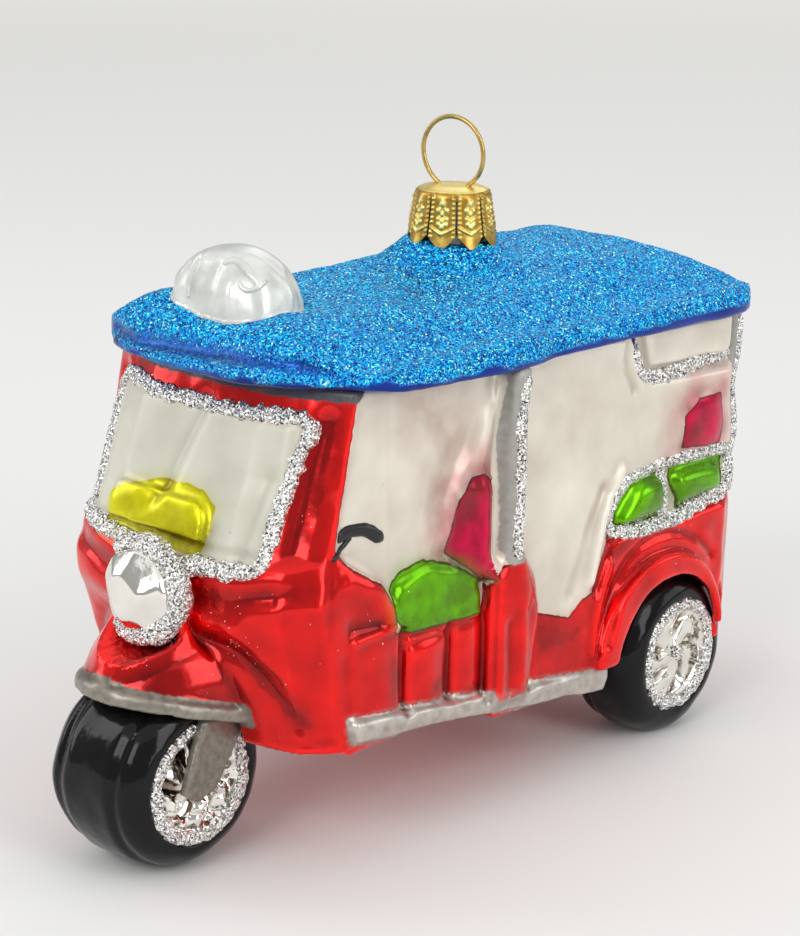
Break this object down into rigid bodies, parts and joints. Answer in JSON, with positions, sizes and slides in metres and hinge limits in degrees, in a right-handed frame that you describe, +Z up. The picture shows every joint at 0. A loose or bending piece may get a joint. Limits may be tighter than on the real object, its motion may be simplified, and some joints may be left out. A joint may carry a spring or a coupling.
{
  "type": "hanging ornament",
  "caption": "Blown-glass hanging ornament in the form of a three-wheeled taxi with a glitter roof, a crown cap and a wire hanging ring.",
  "frame": {"origin": "on the ground the three wheels stand on, under the middle of the whole ornament", "axes": "+Z up, the front of the vehicle faces -Y, +X is the vehicle's left side"},
  "size_m": [0.0508, 0.1072, 0.0896],
  "materials": {
    "black_paint": "black enamel",
    "blue_glitter": "blue glitter over cobalt lacquer",
    "clear_glass": "bare silvered glass",
    "gold_cap": "gold-coloured embossed thin metal",
    "gold_wire": "gold-coloured wire",
    "green_lacquer": "translucent green lacquer over silvered glass",
    "magenta_lacquer": "translucent magenta lacquer over silvered glass",
    "mirror_silver": "bare silvered glass",
    "red_lacquer": "translucent red lacquer over silvered glass",
    "silver_glitter": "raised line of silver glitter",
    "silver_paint": "satin silver-grey paint on blown glass",
    "tyre_black": "glossy black lacquer on blown glass",
    "white_pearl": "pearl white lacquer on blown glass",
    "yellow_lacquer": "bright yellow lacquer"
  },
  "bodies": {
    "ornament": {"arch_lip_left": "red_lacquer", "arch_lip_right": "red_lacquer", "cabin": "white_pearl", "cushion_left": "green_lacquer", "cushion_right": "green_lacquer", "floor": "red_lacquer", "fork_left": "silver_paint", "fork_right": "silver_paint", "front_rim_left": "mirror_silver", "front_rim_right": "mirror_silver", "front_shell": "red_lacquer", "front_tyre": "tyre_black", "grip_left": "black_paint", "grip_right": "black_paint", "headlight_lens": "mirror_silver", "headlight_trim": "silver_glitter", "hump_left": "red_lacquer", "hump_right": "red_lacquer", "mudguard": "red_lacquer", "mudguard_edge": "silver_paint", "neck": "clear_glass", "number_plate": "yellow_lacquer", "pillar_foot_left": "red_lacquer", "pillar_foot_right": "red_lacquer", "pillar_left": "silver_glitter", "pillar_right": "silver_glitter", "rear_body": "red_lacquer", "rear_rim_left": "mirror_silver", "rear_rim_right": "mirror_silver", "rear_seat_left": "magenta_lacquer", "rear_seat_right": "magenta_lacquer", "rear_trim": "silver_glitter", "rear_tyre_left": "tyre_black", "rear_tyre_right": "tyre_black", "rear_window": "white_pearl", "roof": "blue_glitter", "roof_sign": "white_pearl", "seat_back_left": "magenta_lacquer", "seat_back_right": "magenta_lacquer", "side_boxes_left": "red_lacquer", "side_boxes_right": "red_lacquer", "sill_left": "silver_paint", "sill_right": "silver_paint", "upper_trim_left": "silver_glitter", "upper_trim_right": "silver_glitter", "window_front_left": "green_lacquer", "window_front_right": "green_lacquer", "window_rear_left": "green_lacquer", "window_rear_right": "green_lacquer", "window_trim_left": "silver_glitter", "window_trim_right": "silver_glitter", "windscreen": "white_pearl", "windscreen_trim": "silver_glitter"},
    "cap_body": {"cap": "gold_cap"},
    "hanger": {"hanger_wire": "gold_wire"}
  },
  "joints": [
    {"name": "cap_lift", "type": "slide", "parent": "ornament", "child": "cap_body", "axis": [0, 0, 1], "range_m": [0, 0.014]},
    {"name": "ring_pull", "type": "slide", "parent": "cap_body", "child": "hanger", "axis": [0, 0, 1], "range_m": [0, 0.005]}
  ]
}
